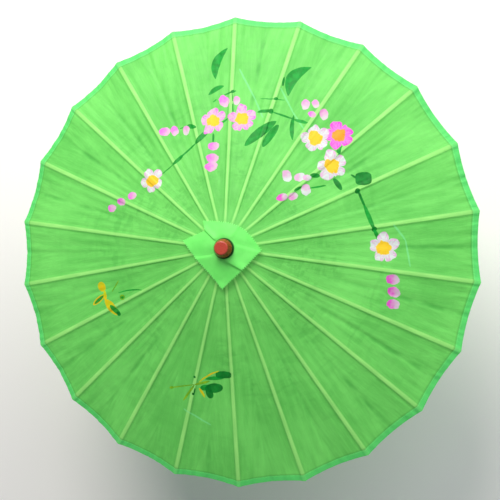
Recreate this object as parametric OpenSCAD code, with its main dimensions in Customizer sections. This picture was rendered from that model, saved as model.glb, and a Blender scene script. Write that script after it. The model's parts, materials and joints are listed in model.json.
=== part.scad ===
// Folding parasol with a cloth canopy on split bamboo ribs, shown open.
// Origin: centre of the handle's flat end. +Z runs up the stick. Rib 1 points along +X.

/* [Canopy] */
// Width across two opposite rib corners of the open canopy
canopy_span = 820; // [680:5:990]
// Thickness of the canopy cloth as a solid
cloth_t = 0.6; // [0.4:0.1:1]
// How far the edge between two ribs curves in from a straight line
rim_dip = 4; // [0:0.5:10]
// How far the cloth between two ribs sags at the rim
cloth_sag = 2; // [0:0.5:6]
// Cloth left past the tip of a rib
tip_cover = 2; // [1:0.5:6]
// Radius at which the cloth leaves the hub and lies on the ribs
drape_r = 72; // [50:1:100]
// Side of the square cap cloth under the finial
cap_w = 94; // [78:1:114]
// Turn of the cap cloth about the stick
cap_turn = 50; // [0:1:90]
// How far a corner of the cap cloth stands off the canopy
cap_lift = 3; // [2:0.5:6]

/* [Ribs] */
// Width of a rib along its outer part
rib_w = 5.5; // [4:0.1:6.6]
// Depth of a rib
rib_h = 3; // [2.4:0.1:3.6]
// Depth of a rib at its tip
rib_tip_h = 2.2; // [1.6:0.1:2.6]
// Thickness of a rib or a stretcher where it enters a slotted hub
root_w = 2.2; // [1.8:0.05:2.6]
// Distance from a rib's hub pivot to its fork pivot, and from there to the runner pivot
arm_l = 175; // [146:1:210]
// Depth of the fork pivot below the middle of the rib
fork_drop = 4; // [3.8:0.1:5]
// Thickness of each cheek of a rib's fork
cheek_t = 1.3; // [1:0.05:1.4]
// Angle between the stick and a rib's pivot line, open
open_angle = 75.5; // [70:0.5:80]
// Angle between the stick and a rib's pivot line, folded
closed_angle = 2.5; // [2.3:0.1:5]

/* [Stretchers] */
// Width of a stretcher along its middle
arm_w = 3.6; // [3:0.1:4]
// Depth of a stretcher
arm_h = 3; // [2.4:0.1:3.4]
// Thickness of a stretcher in the rib's fork
blade_w = 2; // [1.6:0.05:2.3]
// Length over which a stretcher widens from its root
arm_taper_l = 65; // [50:1:80]

/* [Stick] */
// Diameter of the stick
stick_d = 12; // [10:0.1:14.4]
// Length of the handle grip
grip_l = 108; // [90:1:130]
// Diameter of the handle grip's straight barrel
grip_d = 24; // [22:0.5:28.8]
// Free stick between the handle and the folded runner
free_l = 12; // [8:1:40]

/* [Hub and runner] */
// Wood between the stick and the inner end of a slot
core_t = 5.5; // [4.6:0.1:6.6]
// Wood outside the pivots
fin_out = 4; // [3.4:0.1:5]
// Height of a slotted fin beyond its pivot
fin_h = 4; // [3:0.1:6]
// Thickness of the disc that closes the slots
disc_t = 2.5; // [2:0.1:4]
// Length of the hub's neck from its pivots down
neck_l = 12; // [10:0.5:20]
// Length of the runner's sleeve from its pivots down
sleeve_l = 35; // [28:0.5:45]
// Diameter of the runner's sleeve
sleeve_d = 21; // [19:0.5:26]

/* [Finial] */
// Diameter of the finial at its widest
finial_d = 30; // [24:0.5:34]
// Diameter of the finial's flat top
finial_top_d = 20; // [14:0.5:24]
// Height of the finial
finial_h = 20; // [17:0.5:26]
// Length of the stick's tenon in the finial
tenon_l = 13; // [8:0.5:14]

/* [Catch] */
// Length of the spring catch from its pin to its nose
catch_l = 28; // [22:0.5:34]
// Thickness of the spring catch
catch_t = 1.8; // [1.4:0.1:2.2]
// How far the nose stands out of the stick
catch_out = 3.6; // [2.5:0.1:4]
// How far the catch turns in when it is pressed
catch_travel = 9; // [8:0.5:12]

/* [Fits] */
// Gap on each side of a rib or a stretcher in its slot
slot_gap = 0.2; // [0.15:0.05:0.3]
// Gap around an eye at the bottom of its slot
eye_gap = 0.4; // [0.3:0.05:0.6]
// Radial gap between the runner and the stick
runner_gap = 0.3; // [0.2:0.05:0.5]
// Radial gap of a pin in the eye that turns on it
pin_fit = 0.08; // [0.03:0.01:0.1]
// Radial gap of a part that is pinned or glued in place
seat_gap = 0.05; // [0.02:0.01:0.1]
// Gap between the cloth and what it lies on
cloth_gap = 0.3; // [0.2:0.05:0.6]

/* [Hidden] */
$fn = 48;
rib_count = 22;
rib_step = 360 / rib_count;
pitch_per_r = 2 * PI / rib_count;

eye_r = 1.8;
thread_r = 0.45;
thread_eye_r = 0.65;
thread_groove_r = 0.6;
fork_pin_r = 0.6;
fork_half_l = 6;
fork_lip_r = 2.1;
fork_seat = 0.3;
nail_r = 0.8;
nail_drop = 8;
// Longer than any cut that it makes
through = 40;

// Where a rib narrows and thins towards its tip
tip_narrow_l = 8;
tip_narrow_w = 2;
tip_thin_l = 30;
// Least length over which a rib widens, and least length that it then keeps its width
rib_taper_l = 60;

stick_r = stick_d / 2;
core_r = stick_r + runner_gap + core_t;
pivot_r = core_r + eye_gap + eye_r;
hub_r = pivot_r + fin_out;
slot_w = root_w + 2 * slot_gap;
slot_end = eye_r + eye_gap;
root_l = fin_out + 2;

fork_tilt = asin(fork_drop / arm_l);
fork_x = arm_l * cos(fork_tilt);
fork_w = blade_w + 2 * slot_gap + 2 * cheek_t;
bar_angle = open_angle + fork_tilt;
folded_bar_angle = closed_angle + fork_tilt;
rim_r = canopy_span / 2;
rib_l = (rim_r - tip_cover - pivot_r) / sin(bar_angle);
rib_room = 0.8;
full_w_x = max(rib_taper_l, ((rib_w + rib_room) / pitch_per_r + rib_h / 2 - pivot_r) / sin(folded_bar_angle));
wide_x = min(full_w_x, rib_l - rib_taper_l);
wide_w = rib_w * wide_x / full_w_x + root_w * (1 - wide_x / full_w_x);

// A stretcher is at its blade's width all along the fork
blade_x = arm_l - fork_half_l - 3;
blade_taper_l = 6;

// The folded runner stands free_l above the handle, and this sets the height of the hub
hub_z = grip_l + free_l + sleeve_l + 2 * arm_l * cos(closed_angle);
runner_z = hub_z - 2 * arm_l * cos(open_angle);
hub_top = hub_z + slot_end + disc_t;
fork_r = pivot_r + arm_l * sin(open_angle);
fork_z = hub_z - arm_l * cos(open_angle);

neck_r = stick_r + 2;
crown_r = hub_r + 1.5;
// The cloth between two ribs is flat from a rib to the side of its first facet: at the rim it falls by
// rib_edge_drop between the middle of a rib and its edge, and it clears that edge by edge_clear at least
gore_parts = 4;
edge_clear = 0.0015;
first_side = gore_point(rim_r, 2 / gore_parts - 1);
side_along = first_side.x * cos(rib_step / 2) - first_side.y * sin(rib_step / 2);
side_aside = first_side.x * sin(rib_step / 2) + first_side.y * cos(rib_step / 2);
side_drop = gore_sag(rim_r, 2 / gore_parts - 1) + (rim_r - side_along) / tan(bar_angle);
rib_edge_drop = side_drop / side_aside * wide_w / 2;
cloth_low = rib_h / 2 / sin(bar_angle) + max(cloth_gap / sin(bar_angle), rib_edge_drop + edge_clear);
cap_z = hub_top + cloth_gap + cloth_t;
finial_z = cap_z + cloth_gap + cloth_t + cloth_gap;
tenon_r = stick_r - 1;

catch_top = runner_z - sleeve_l - cloth_gap;
catch_z = catch_top - catch_l;
catch_slot_w = catch_t + 3 * slot_gap;
catch_eye_r = 1.9;
// Place of the catch's front edge and of its back edge, inside the stick's surface
catch_front = 2.2;
catch_back = 4.2;
catch_heel = 6.4;
catch_room = 0.7;
// The catch's slot is deep enough for the pressed catch
catch_slot_in = catch_l * sin(catch_travel) - (stick_r - catch_back) + catch_room;

hub_nail_z = hub_z - nail_drop;
grip_bore_z = 30;

function numbered(name, i) = str(name, i < 10 ? "_0" : "_", i);

// Points of an arc in a plane, from one angle to another
function arc(cx, cy, r, from, to, steps = 6) =
    [for (i = [0:steps]) let(a = from + (to - from) * i / steps) [cx + r * cos(a), cy + r * sin(a)]];

// Smooth rise from 0 to 1
function ease(t) = let(c = min(max(t, 0), 1)) c * c * (3 - 2 * c);

// Height of the cloth's underside above a rib, at a distance from the stick
function cloth_line(r) = hub_z + cloth_low - (r - pivot_r) / tan(bar_angle);
function cloth_z(r) =
    let(crown = hub_top + cloth_gap, drape = 1 - ease((r - crown_r) / (drape_r - crown_r)))
    r < crown_r ? crown : cloth_line(r) + drape * (crown - cloth_line(crown_r));

// Share of the way out to the rim
function outward(r) = (r - neck_r) / (rim_r - neck_r);

// Place in a gore, from the stick and from the gore's middle: u runs from -1 at one rib to 1 at the next
function gore_point(r, u) =
    [r * cos(rib_step / 2) - rim_dip * (1 - u * u) * pow(outward(r), 12), r * sin(rib_step / 2) * u];

// How far the cloth sags there below a line between the two ribs
function gore_sag(r, u) = cloth_sag * outward(r) * (1 - u * u);

// A point of the cloth's underside
function cloth_point(gore, r, u) =
    let(place = gore_point(r, u), turn = (gore + 0.5) * rib_step)
    [place.x * cos(turn) - place.y * sin(turn), place.x * sin(turn) + place.y * cos(turn),
     cloth_z(r) - gore_sag(r, u)];

// Closed sheet between two grids of points that have the same rows and columns
module sheet(low, high, ring) {
    rows = len(low);
    cols = len(low[0]);
    last = ring ? cols - 1 : cols - 2;
    points = concat([for (row = low) each row], [for (row = high) each row]);
    top = rows * cols;
    function at(j, i) = j * cols + i % cols;
    function edge(a, b) = [[a, b, b + top], [a, b + top, a + top]];
    faces = concat(
        [for (j = [0:rows - 2], i = [0:last]) each
            [[at(j, i), at(j, i + 1), at(j + 1, i + 1)], [at(j, i), at(j + 1, i + 1), at(j + 1, i)]]],
        [for (j = [0:rows - 2], i = [0:last]) each
            [[top + at(j, i), top + at(j + 1, i + 1), top + at(j, i + 1)],
             [top + at(j, i), top + at(j + 1, i), top + at(j + 1, i + 1)]]],
        [for (i = [0:last]) each edge(at(0, i + 1), at(0, i))],
        [for (i = [0:last]) each edge(at(rows - 1, i), at(rows - 1, i + 1))],
        ring ? [] : [for (j = [0:rows - 2]) each edge(at(j, 0), at(j + 1, 0))],
        ring ? [] : [for (j = [0:rows - 2]) each edge(at(j + 1, cols - 1), at(j, cols - 1))]);
    polyhedron(points, faces);
}

module canopy() {
    radii = [neck_r, crown_r, crown_r + 12, (crown_r + drape_r) / 2, drape_r,
             for (k = [1:6]) drape_r + (rim_r - drape_r) * k / 6];
    low = [for (r = radii) [for (g = [0:rib_count - 1], k = [0:gore_parts - 1])
        cloth_point(g, r, 2 * k / gore_parts - 1)]];
    high = [for (row = low) [for (p = row) p + [0, 0, cloth_t]]];
    color("lightgreen") sheet(low, high, true);
}

// Square cloth with a round hole, laid over the canopy's crown
module cap_cloth() {
    rings = 6;
    sides = 48;
    corner_r = cap_w / 2 * sqrt(2);
    // Distance from the stick to the edge of the square in one direction
    function reach(a) = cap_w / 2 / max(abs(cos(a)), abs(sin(a)));
    // The first ring lies flat on the crown, the others spread from it to the edge
    function cap_point(j, a) =
        let(r = j == 0 ? neck_r : crown_r + (reach(a) - crown_r) * (j - 1) / (rings - 1),
            lift = cloth_t + cloth_gap + cap_lift * max(0, r - crown_r) / (corner_r - crown_r))
        [r * cos(a + cap_turn), r * sin(a + cap_turn), cloth_z(r) + lift];
    low = [for (j = [0:rings]) [for (i = [0:sides - 1]) cap_point(j, 360 * i / sides)]];
    high = [for (row = low) [for (p = row) p + [0, 0, cloth_t]]];
    color("springgreen") sheet(low, high, true);
}

// A bar of one depth whose width follows pairs of distance and width
module bar(widths, depths) {
    count = len(widths);
    side = len(depths);
    intersection() {
        linear_extrude(through, center = true) polygon(concat(
            [for (i = [0:count - 1]) [widths[i][0], widths[i][1] / 2]],
            [for (i = [count - 1:-1:0]) [widths[i][0], -widths[i][1] / 2]]));
        rotate([90, 0, 0]) linear_extrude(through, center = true) polygon(concat(
            [for (i = [0:side - 1]) [depths[i][0], depths[i][1]]],
            [for (i = [side - 1:-1:0]) [depths[i][0], depths[i][2]]]));
    }
}

// Cylinder across a rib or a stretcher
module across(r, w) {
    rotate([90, 0, 0]) cylinder(r = r, h = w, center = true);
}

module rib_shape() {
    difference() {
        union() {
            bar([[0, root_w], [root_l, root_w], [wide_x, wide_w], [rib_l - tip_narrow_l, wide_w],
                 [rib_l, wide_w - tip_narrow_w]],
                [[0, rib_h / 2, -rib_h / 2], [rib_l - tip_thin_l, rib_h / 2, -rib_h / 2],
                 [rib_l, rib_h / 2, rib_h / 2 - rib_tip_h]]);
            across(eye_r, root_w);
            translate([fork_x, 0, 0]) fork_cheeks();
        }
        across(thread_eye_r, root_w + 1);
        translate([fork_x, 0, -fork_drop]) across(fork_pin_r + seat_gap, fork_w + 1);
    }
    translate([fork_x, 0, -fork_drop]) across(fork_pin_r, fork_w);
}

// Two cheeks under the rib that hold the stretcher's end
module fork_cheeks() {
    top = -rib_h / 2 + fork_seat;
    difference() {
        rotate([90, 0, 0]) linear_extrude(fork_w, center = true) union() {
            polygon([[-fork_half_l, top], [fork_half_l, top],
                     [fork_lip_r, -fork_drop], [-fork_lip_r, -fork_drop]]);
            translate([0, -fork_drop]) circle(r = fork_lip_r);
        }
        translate([-through / 2, -fork_w / 2 + cheek_t, -through - rib_h / 2])
            cube([through, blade_w + 2 * slot_gap, through]);
    }
}

module rib(i) {
    color("goldenrod") rotate([0, 0, (i - 1) * rib_step]) translate([pivot_r, 0, hub_z])
        rotate([0, 90 - bar_angle, 0]) rib_shape();
}

// Stretcher along X from the runner pivot at the origin to the fork pivot
module stretcher_shape() {
    difference() {
        union() {
            bar([[0, root_w], [root_l, root_w], [arm_taper_l, arm_w], [blade_x - blade_taper_l, arm_w],
                 [blade_x, blade_w], [arm_l, blade_w]],
                [[0, arm_h / 2, -arm_h / 2], [arm_l, arm_h / 2, -arm_h / 2]]);
            across(eye_r, root_w);
            translate([arm_l, 0, 0]) across(eye_r, blade_w);
        }
        across(thread_eye_r, root_w + 1);
        translate([arm_l, 0, 0]) across(fork_pin_r + pin_fit, blade_w + 1);
    }
}

module stretcher(i) {
    color("khaki") rotate([0, 0, (i - 1) * rib_step]) translate([pivot_r, 0, runner_z])
        rotate([0, open_angle - 90, 0]) stretcher_shape();
}

// Head with one slot for each rib, open above its pivots, which lie at height 0
module slotted_head() {
    difference() {
        translate([0, 0, -slot_end - disc_t]) cylinder(r = hub_r, h = slot_end + disc_t + fin_h);
        for (i = [0:rib_count - 1]) rotate([0, 0, i * rib_step])
            translate([core_r, -slot_w / 2, -slot_end]) cube([hub_r, slot_w, slot_end + fin_h + 1]);
        thread_ring(thread_groove_r);
    }
}

module thread_ring(r) {
    rotate_extrude($fn = 88) translate([pivot_r, 0]) circle(r = r, $fn = 24);
}

module upper_hub() {
    color("peru") translate([0, 0, hub_z]) difference() {
        union() {
            mirror([0, 0, 1]) slotted_head();
            translate([0, 0, -neck_l]) cylinder(r = core_r, h = neck_l);
        }
        translate([0, 0, -neck_l - 1]) cylinder(r = stick_r + seat_gap, h = neck_l + slot_end + disc_t + 2);
        translate([0, 0, hub_nail_z - hub_z]) rotate([0, 90, 0])
            cylinder(r = nail_r + seat_gap, h = 2 * hub_r, center = true);
    }
}

module hub_thread() {
    color("ivory") translate([0, 0, hub_z]) thread_ring(thread_r);
}

module runner_thread() {
    color("ivory") translate([0, 0, runner_z]) thread_ring(thread_r);
}

module hub_pin() {
    color("silver") translate([0, 0, hub_nail_z]) rotate([0, 90, 0])
        cylinder(r = nail_r, h = 2 * core_r - 1, center = true);
}

// Turned sleeve with a flared foot for the thumb
module runner() {
    waist_r = sleeve_d / 2;
    foot_r = waist_r + 2.5;
    foot_h = 7;
    bead_r = 1.5;
    collar_h = 3;
    color("peru") translate([0, 0, runner_z]) difference() {
        union() {
            slotted_head();
            translate([0, 0, -slot_end]) cylinder(r = core_r, h = slot_end + fin_h);
            rotate_extrude() polygon(concat(
                [[0, -sleeve_l], [foot_r - bead_r / 2, -sleeve_l]],
                arc(foot_r - bead_r, -sleeve_l + bead_r, bead_r, -60, 60),
                [[waist_r, -sleeve_l + foot_h], [waist_r, -slot_end - disc_t - collar_h],
                 [hub_r - 2, -slot_end - disc_t], [0, -slot_end - disc_t]]));
        }
        translate([0, 0, -sleeve_l - 1]) cylinder(r = stick_r + runner_gap, h = sleeve_l + fin_h + 2);
    }
}

module stick() {
    color("burlywood") difference() {
        union() {
            translate([0, 0, grip_bore_z]) cylinder(r = stick_r, h = hub_top - grip_bore_z);
            translate([0, 0, hub_top]) cylinder(r = tenon_r, h = finial_z - hub_top + tenon_l);
        }
        translate([0, 0, hub_nail_z]) rotate([0, 90, 0])
            cylinder(r = nail_r + seat_gap, h = 2 * stick_d, center = true);
        translate([0, 0, catch_z]) across(nail_r + seat_gap, 2 * stick_d);
        translate([-catch_slot_in, -catch_slot_w / 2, catch_z - catch_eye_r - 1])
            cube([stick_d, catch_slot_w, catch_l + catch_eye_r + 3]);
    }
}

// Turned knob: a narrow foot, a full belly and a flat top with a rounded edge
module finial() {
    foot_r = finial_d / 2 - 1.5;
    foot_h = 2;
    belly_z = 7;
    belly_r = 4;
    edge_r = 2.5;
    top_r = finial_top_d / 2;
    color("sienna") translate([0, 0, finial_z]) difference() {
        rotate_extrude($fn = 64) polygon(concat(
            [[0, 0], [foot_r, 0], [foot_r, foot_h * 0.6], [foot_r - 1, foot_h]],
            arc(finial_d / 2 - belly_r, belly_z, belly_r, -55, 25),
            arc(top_r - edge_r + 1.5, finial_h - edge_r, edge_r, 15, 90),
            [[0, finial_h]]));
        translate([0, 0, -1]) cylinder(r = tenon_r + seat_gap, h = tenon_l + 1);
    }
}

// Turned grip: rounded end, straight barrel, a bead between two grooves, and a taper to the stick
module handle_grip() {
    r = grip_d / 2;
    end_r = 4;
    barrel_top = grip_l - 36;
    neck = stick_r + 2;
    color("sienna") difference() {
        rotate_extrude($fn = 64) polygon(concat(
            [[0, 0]],
            arc(r - end_r, end_r, end_r, -90, 0),
            [[r, barrel_top], [r - 1.4, barrel_top + 1.5], [r - 1.4, barrel_top + 3]],
            arc(r - 2.2, barrel_top + 6, 2.8, -75, 75),
            [[r - 1.6, barrel_top + 9.5], [r - 2.2, barrel_top + 11]],
            arc(neck - 1.5, grip_l - 1.5, 1.5, 0, 90),
            [[0, grip_l]]));
        translate([0, 0, grip_bore_z]) cylinder(r = stick_r + seat_gap, h = grip_l);
    }
}

// Bent strip on a pin: its nose stands under the open runner
module catch_spring() {
    color("silver") translate([0, 0, catch_z]) difference() {
        rotate([90, 0, 0]) linear_extrude(catch_t, center = true) union() {
            circle(r = catch_eye_r);
            polygon([[-catch_eye_r, 0], [catch_eye_r, 0], [stick_r - catch_front, catch_l * 0.45],
                     [stick_r + catch_out, catch_l - 1.5], [stick_r + catch_out - 1, catch_l],
                     [stick_r - catch_back, catch_l], [stick_r - catch_heel, catch_l / 2]]);
        }
        across(nail_r + pin_fit, catch_t + 1);
    }
}

module catch_pin() {
    color("silver") translate([0, 0, catch_z]) across(nail_r, stick_d - 0.6);
}

for (i = [1:rib_count]) rib(i);
for (i = [1:rib_count]) stretcher(i);
canopy();
cap_cloth();
finial();
stick();
handle_grip();
upper_hub();
hub_thread();
hub_pin();
runner();
runner_thread();
catch_spring();
catch_pin();
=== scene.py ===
import json
import math

import bpy
import numpy as np
from mathutils import Matrix, Vector, noise


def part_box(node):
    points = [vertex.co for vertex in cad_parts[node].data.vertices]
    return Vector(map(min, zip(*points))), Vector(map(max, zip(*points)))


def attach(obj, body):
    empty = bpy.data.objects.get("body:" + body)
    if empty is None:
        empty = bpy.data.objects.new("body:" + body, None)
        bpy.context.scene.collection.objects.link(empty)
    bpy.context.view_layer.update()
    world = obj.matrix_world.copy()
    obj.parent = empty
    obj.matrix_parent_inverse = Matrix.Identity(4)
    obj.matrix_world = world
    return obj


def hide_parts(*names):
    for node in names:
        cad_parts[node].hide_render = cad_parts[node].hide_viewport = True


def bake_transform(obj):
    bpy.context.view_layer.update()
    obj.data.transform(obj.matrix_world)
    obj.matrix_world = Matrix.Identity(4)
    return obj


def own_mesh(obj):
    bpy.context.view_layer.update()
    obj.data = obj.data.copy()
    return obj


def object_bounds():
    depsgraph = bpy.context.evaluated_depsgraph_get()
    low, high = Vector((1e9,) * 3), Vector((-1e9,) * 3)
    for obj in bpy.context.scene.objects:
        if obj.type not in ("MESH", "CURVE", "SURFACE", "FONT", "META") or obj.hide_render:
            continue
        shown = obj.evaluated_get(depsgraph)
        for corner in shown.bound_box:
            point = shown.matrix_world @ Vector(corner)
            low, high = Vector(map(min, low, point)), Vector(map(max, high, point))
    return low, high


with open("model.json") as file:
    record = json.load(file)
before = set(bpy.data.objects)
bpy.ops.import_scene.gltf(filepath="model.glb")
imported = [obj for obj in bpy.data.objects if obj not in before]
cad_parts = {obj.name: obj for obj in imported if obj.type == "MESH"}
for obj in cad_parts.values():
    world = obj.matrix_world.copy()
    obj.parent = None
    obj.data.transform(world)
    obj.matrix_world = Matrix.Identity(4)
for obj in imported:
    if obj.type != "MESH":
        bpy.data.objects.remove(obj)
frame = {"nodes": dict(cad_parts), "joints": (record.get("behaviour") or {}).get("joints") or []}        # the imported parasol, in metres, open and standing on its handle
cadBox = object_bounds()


def tint(red, green, blue):
    # a screen colour from 0 to 255, as the shaders want it
    parts = [channel / 255 for channel in (red, green, blue)]
    return [part / 12.92 if part < 0.04045 else ((part + 0.055) / 1.055) ** 2.4 for part in parts] + [1]


def smooth(value):
    value = min(max(value, 0), 1)
    return value * value * (3 - 2 * value)


# measures taken from the frame
ribCount = 22
ribStep = 2 * math.pi / ribCount
halfStep = ribStep / 2
joints = {joint["name"]: joint for joint in frame["joints"]}
pivotRadius = joints["fold"]["pos_m"][0]
hubHeight = joints["fold"]["pos_m"][2]
canopyLow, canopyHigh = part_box("canopy")
rimRadius = canopyHigh.x
finialLow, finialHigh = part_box("finial")


# camera, light and floor
cameraSetup = {
    "target": (0.0227, 0.0030, 0.4138),
    "distance": 1.196,
    "azimuth": 90.21,
    "elevation": 78.3,
    "roll": -82.66,
    "viewAngle": 40,
}

studio = {
    "keyAzimuth": 110,      # the bright side, seen from above
    "keyHeight": 40,        # degrees above the floor
    "keyDistance": 2.6,
    "keySize": 1.5,
    "keyPower": 85,
    "keyColour": (1.0, 0.93, 0.88),
    "sideAzimuth": 62,
    "sideHeight": 36,
    "sideDistance": 2.8,
    "sideSize": 2.2,
    "sidePower": 42,
    "skyColour": (0.90, 0.95, 1.0),
    "skyStrength": 0.30,
    "floorColour": (0.86, 0.86, 0.85, 1),
    "floorSize": 9,
    "floorGap": 0.0005,     # the floor is this far below the handle
}


def makeCamera(setup):
    azimuth = math.radians(setup["azimuth"])
    elevation = math.radians(setup["elevation"])
    roll = math.radians(setup["roll"])
    back = Vector((math.sin(azimuth) * math.cos(elevation),
                   -math.cos(azimuth) * math.cos(elevation),
                   math.sin(elevation)))
    level = Vector((math.cos(azimuth), math.sin(azimuth), 0))
    upward = back.cross(level)
    right = level * math.cos(roll) + upward * math.sin(roll)
    top = upward * math.cos(roll) - level * math.sin(roll)
    camera = bpy.data.objects.new("camera", bpy.data.cameras.new("camera"))
    camera.data.angle = math.radians(setup["viewAngle"])
    camera.matrix_world = Matrix((right, top, back)).transposed().to_4x4()
    camera.location = Vector(setup["target"]) + back * setup["distance"]
    bpy.context.scene.collection.objects.link(camera)
    bpy.context.scene.camera = camera


def addLamp(name, azimuth, height, distance, size, power, colour):
    lamp = bpy.data.lights.new(name, "AREA")
    lamp.shape = "DISK"
    lamp.size = size
    lamp.energy = power
    lamp.color = colour
    holder = bpy.data.objects.new(name, lamp)
    turn, lift = math.radians(azimuth), math.radians(height)
    away = Vector((math.cos(turn) * math.cos(lift), math.sin(turn) * math.cos(lift), math.sin(lift)))
    holder.location = Vector((0, 0, hubHeight)) + away * distance
    holder.rotation_euler = away.to_track_quat("Z", "Y").to_euler()
    bpy.context.scene.collection.objects.link(holder)


def makeStudio(setup):
    addLamp("key_lamp", setup["keyAzimuth"], setup["keyHeight"], setup["keyDistance"],
            setup["keySize"], setup["keyPower"], setup["keyColour"])
    addLamp("side_lamp", setup["sideAzimuth"], setup["sideHeight"], setup["sideDistance"],
            setup["sideSize"], setup["sidePower"], (1, 1, 1))
    world = bpy.data.worlds.new("studio_sky")
    world.use_nodes = True
    sky = world.node_tree.nodes["Background"]
    sky.inputs["Color"].default_value = (*setup["skyColour"], 1)
    sky.inputs["Strength"].default_value = setup["skyStrength"]
    bpy.context.scene.world = world
    bpy.context.scene.view_settings.view_transform = "Standard"


def makeFloor(setup):
    half = setup["floorSize"] / 2
    level = cadBox[0].z - setup["floorGap"]
    mesh = bpy.data.meshes.new("studio_floor")
    corners = [(-half, -half, level), (half, -half, level), (half, half, level), (-half, half, level)]
    mesh.from_pydata(corners, [], [(0, 1, 2, 3)])
    floor = bpy.data.objects.new("studio_floor", mesh)
    paint = bpy.data.materials.new("floor_paint")
    paint.use_nodes = True
    shader = paint.node_tree.nodes["Principled BSDF"]
    shader.inputs["Base Color"].default_value = setup["floorColour"]
    shader.inputs["Roughness"].default_value = 0.9
    mesh.materials.append(paint)
    bpy.context.scene.collection.objects.link(floor)


makeCamera(cameraSetup)
makeStudio(studio)
makeFloor(studio)
print("camera, light and floor are set")


# small helpers for shader nodes
def plug(tree, socket, value):
    if isinstance(value, bpy.types.NodeSocket):
        tree.links.new(value, socket)
    else:
        socket.default_value = value


def calc(tree, operation, first, second=0.0, third=0.0):
    node = tree.nodes.new("ShaderNodeMath")
    node.operation = operation
    for socket, value in zip(node.inputs, (first, second, third)):
        plug(tree, socket, value)
    return node.outputs[0]


def plus(tree, first, second):
    return calc(tree, "ADD", first, second)


def minus(tree, first, second):
    return calc(tree, "SUBTRACT", first, second)


def times(tree, first, second):
    return calc(tree, "MULTIPLY", first, second)


def move(tree, operation, first, second=(0, 0, 0)):
    node = tree.nodes.new("ShaderNodeVectorMath")
    node.operation = operation
    plug(tree, node.inputs[0], first)
    if operation == "SCALE":
        plug(tree, node.inputs["Scale"], second)
    else:
        plug(tree, node.inputs[1], second)
    return node.outputs["Value" if operation in ("LENGTH", "DOT_PRODUCT", "DISTANCE") else "Vector"]


def fade(tree, value, start, end, low=0.0, high=1.0):
    # rises from low at start to high at end, with soft ends
    node = tree.nodes.new("ShaderNodeMapRange")
    node.interpolation_type = "SMOOTHSTEP"
    for socket, setting in zip(node.inputs, (value, start, end, low, high)):
        plug(tree, socket, setting)
    return node.outputs[0]


def mixColour(tree, share, first, second):
    node = tree.nodes.new("ShaderNodeMix")
    node.data_type = "RGBA"
    plug(tree, node.inputs[0], share)
    plug(tree, node.inputs[6], first)
    plug(tree, node.inputs[7], second)
    return node.outputs[2]


def noiseAt(tree, vector, scale, detail=2.0, roughness=0.5):
    node = tree.nodes.new("ShaderNodeTexNoise")
    plug(tree, node.inputs["Vector"], vector)
    node.inputs["Scale"].default_value = scale
    node.inputs["Detail"].default_value = detail
    node.inputs["Roughness"].default_value = roughness
    return node.outputs[0]


def split(tree, vector):
    node = tree.nodes.new("ShaderNodeSeparateXYZ")
    plug(tree, node.inputs[0], vector)
    return node.outputs[0], node.outputs[1], node.outputs[2]


def join(tree, x, y, z=0.0):
    node = tree.nodes.new("ShaderNodeCombineXYZ")
    for socket, value in zip(node.inputs, (x, y, z)):
        plug(tree, socket, value)
    return node.outputs[0]


def mapNamed(tree, name):
    node = tree.nodes.new("ShaderNodeUVMap")
    node.uv_map = name
    return node.outputs[0]


def newGroup(name, inputs, outputs):
    tree = bpy.data.node_groups.new(name, "ShaderNodeTree")
    for socketName, kind in inputs:
        tree.interface.new_socket(name=socketName, in_out="INPUT", socket_type="NodeSocket" + kind)
    for socketName, kind in outputs:
        tree.interface.new_socket(name=socketName, in_out="OUTPUT", socket_type="NodeSocket" + kind)
    return tree, tree.nodes.new("NodeGroupInput").outputs, tree.nodes.new("NodeGroupOutput").inputs


def useGroup(tree, group, **values):
    node = tree.nodes.new("ShaderNodeGroup")
    node.node_tree = group
    for name, value in values.items():
        plug(tree, node.inputs[name], value)
    return node.outputs


def newMaterial(name):
    material = bpy.data.materials.new(name)
    material.use_nodes = True
    material.node_tree.nodes.clear()
    return material, material.node_tree


def closeMaterial(tree, shader):
    output = tree.nodes.new("ShaderNodeOutputMaterial")
    tree.links.new(shader, output.inputs["Surface"])


def addBump(tree, height, strength, distance):
    node = tree.nodes.new("ShaderNodeBump")
    node.inputs["Strength"].default_value = strength
    node.inputs["Distance"].default_value = distance
    plug(tree, node.inputs["Height"], height)
    return node.outputs[0]


# the dyed nylon of the canopy
nylon = {
    "green": tint(120, 220, 106),
    "deepGreen": tint(100, 198, 90),
    # the pale green of the painted highlight over the ribs, and also of the hem's stitches
    "highlightAndStitchGreen": tint(174, 255, 142),
    "hemGreen": tint(104, 234, 134),
    # the darker green of painted shade in folds and wrinkles, beside the ribs and beside the hem
    "shadeGreen": tint(72, 168, 70),
    "bandNear": 0.0024,     # half the width of the painted highlight band over a rib, near the hub
    "bandFar": 0.0039,      # the same at the rim
    "bandStart": 0.04,
    "hemWidth": 0.0108,
    "seamInset": 0.0015,    # from the hem's inner edge to its stitches
    "seamFade": 0.0040,     # width of the shade beside the hem
    "stitch": 0.0026,       # from one stitch to the next
    "yarn": 0.00055,        # from one thread of the weave to the next
    "throughLight": 0.34,   # share of the light that comes through the cloth
}


def bandWidth(radius):
    share = (radius - nylon["bandStart"]) / (rimRadius - nylon["bandStart"])
    return nylon["bandNear"] + (nylon["bandFar"] - nylon["bandNear"]) * min(max(share, 0), 1)


def plainWeave(tree, planX, planY):
    threads = [calc(tree, "SINE", times(tree, side, 2 * math.pi / nylon["yarn"]))
               for side in (planX, planY)]
    return times(tree, threads[0], threads[1])


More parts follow.
